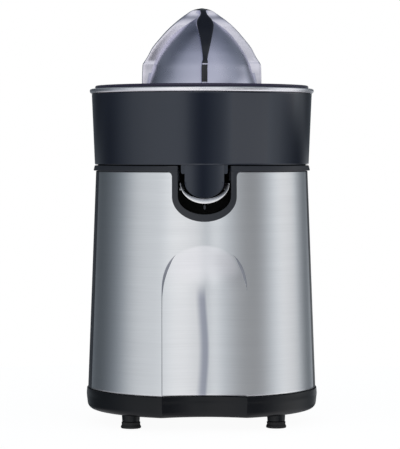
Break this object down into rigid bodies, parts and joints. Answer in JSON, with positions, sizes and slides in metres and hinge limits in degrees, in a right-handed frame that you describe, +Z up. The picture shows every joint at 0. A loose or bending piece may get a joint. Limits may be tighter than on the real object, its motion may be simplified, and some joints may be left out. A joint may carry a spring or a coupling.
{
  "type": "citrus press juicer",
  "caption": "Electric citrus press: brushed-steel body with a glass niche, black juice collector with a tilting spout, strainer and a four-finned reamer driven from below.",
  "frame": {"origin": "on the ground, under the drive axis, midway between the feet", "axes": "+Z up along the drive axis, -Y towards the spout and the glass niche, +X to the right as seen by the user"},
  "size_m": [0.17, 0.17, 0.303],
  "materials": {
    "brushed_steel": "fine horizontal brushing, clear highlights",
    "polished_metal": "polished",
    "reamer_metal": "smoky polished metal",
    "gloss_black": "blue-black semi-gloss moulding",
    "satin_charcoal": "satin moulding with a faint grain",
    "base_black": "near-black semi-gloss moulding",
    "violet_plastic": "dark violet translucent-looking moulding",
    "rubber_black": "matt",
    "inner_plastic": "natural acetal",
    "black_moulding": "plain moulding",
    "bronze": "sintered",
    "copper_wire": "enamelled winding",
    "ferrite": "ground ferrite",
    "zinc_steel": "bright zinc",
    "laminated_iron": "stacked laminations"
  },
  "bodies": {
    "housing": {"base_tray": "base_black", "foot_pad_front_left": "rubber_black", "foot_pad_front_right": "rubber_black", "foot_pad_rear_left": "rubber_black", "foot_pad_rear_right": "rubber_black", "steel_shell": "brushed_steel", "rear_housing": "satin_charcoal", "cord_grommet": "rubber_black", "top_collar": "satin_charcoal", "housing_screw_front_left": "zinc_steel", "housing_screw_front_right": "zinc_steel", "housing_screw_rear_left": "zinc_steel", "housing_screw_rear_right": "zinc_steel", "shaft_bush_lower": "bronze", "shaft_bush_upper": "bronze", "shaft_seal": "rubber_black", "gear_plate": "zinc_steel", "gear_cover": "black_moulding", "gear_cover_screw_1": "zinc_steel", "gear_cover_screw_2": "zinc_steel", "gear_cover_screw_3": "zinc_steel", "idler_pin": "zinc_steel", "micro_switch": "black_moulding", "stator_core": "laminated_iron", "coil_bobbin_left": "inner_plastic", "coil_bobbin_right": "inner_plastic", "coil_winding_left": "copper_wire", "coil_winding_right": "copper_wire", "rotor_bearing_lower": "bronze", "rotor_bearing_upper": "bronze", "motor_frame_lower": "zinc_steel", "motor_frame_upper": "zinc_steel", "motor_bolt_1": "zinc_steel", "motor_bolt_2": "zinc_steel", "motor_bolt_3": "zinc_steel", "motor_bolt_4": "zinc_steel", "terminal_block": "inner_plastic", "return_spring": "zinc_steel"},
    "press_carrier": {"thrust_washer": "bronze"},
    "spindle": {"drive_shaft": "zinc_steel", "output_gear": "inner_plastic", "drive_pin": "zinc_steel", "retaining_ring": "zinc_steel"},
    "reamer": {"reamer": "reamer_metal", "reamer_socket": "zinc_steel"},
    "idler": {"idler_gear": "inner_plastic"},
    "rotor": {"rotor_magnet": "ferrite", "rotor_shaft": "zinc_steel", "rotor_pinion": "bronze"},
    "collector": {"juice_collector": "gloss_black", "collector_rim": "polished_metal", "spout_pin_left": "zinc_steel", "spout_pin_right": "zinc_steel"},
    "strainer": {"strainer": "violet_plastic"},
    "spout": {"spout_trough": "polished_metal"},
    "switch_lever": {"switch_lever": "zinc_steel"},
    "switch_plunger": {"switch_plunger": "inner_plastic"}
  },
  "joints": [
    {"name": "press", "type": "slide", "parent": "housing", "child": "press_carrier", "axis": [0, 0, 1], "range_m": [-0.003, 0], "stiffness_N_per_m": 1500, "springref_m": 0.004, "deforming": ["return_spring"]},
    {"name": "spindle_spin", "type": "hinge", "parent": "press_carrier", "child": "spindle", "pos_m": [0, 0, 0.15], "axis": [0, 0, 1], "continuous": true},
    {"name": "reamer_lift", "type": "slide", "parent": "spindle", "child": "reamer", "axis": [0, 0, 1], "range_m": [0, 0.12]},
    {"name": "idler_spin", "type": "hinge", "parent": "housing", "child": "idler", "pos_m": [-0.03053, 0.01908, 0.11], "axis": [0, 0, 1], "continuous": true},
    {"name": "rotor_spin", "type": "hinge", "parent": "housing", "child": "rotor", "pos_m": [-0.00915, 0.02997, 0.052], "axis": [0, 0, 1], "continuous": true},
    {"name": "collector_lift", "type": "slide", "parent": "housing", "child": "collector", "axis": [0, 0, 1], "range_m": [0, 0.05]},
    {"name": "strainer_lift", "type": "slide", "parent": "collector", "child": "strainer", "axis": [0, 0, 1], "range_m": [0, 0.04]},
    {"name": "spout_tilt", "type": "hinge", "parent": "collector", "child": "spout", "pos_m": [0, -0.066, 0.171], "axis": [1, 0, 0], "range_deg": [0, 12]},
    {"name": "switch_lever_tilt", "type": "hinge", "parent": "housing", "child": "switch_lever", "pos_m": [0.022, 0, 0.0837], "axis": [0, 1, 0], "range_deg": [-8, 0]},
    {"name": "switch_plunger_travel", "type": "slide", "parent": "housing", "child": "switch_plunger", "axis": [0, 0, 1], "range_m": [-0.002, 0]}
  ],
  "couplings": [
    {"joint": "idler_spin", "follows": "spindle_spin", "ratio": -4},
    {"joint": "rotor_spin", "follows": "spindle_spin", "ratio": 20},
    {"joint": "collector_lift", "follows": "reamer_lift", "ratio": 0.4},
    {"joint": "strainer_lift", "follows": "reamer_lift", "ratio": 0.3},
    {"joint": "switch_lever_tilt", "follows": "press", "rad_per_m": 45.455},
    {"joint": "switch_plunger_travel", "follows": "press", "ratio": 0.54545}
  ]
}
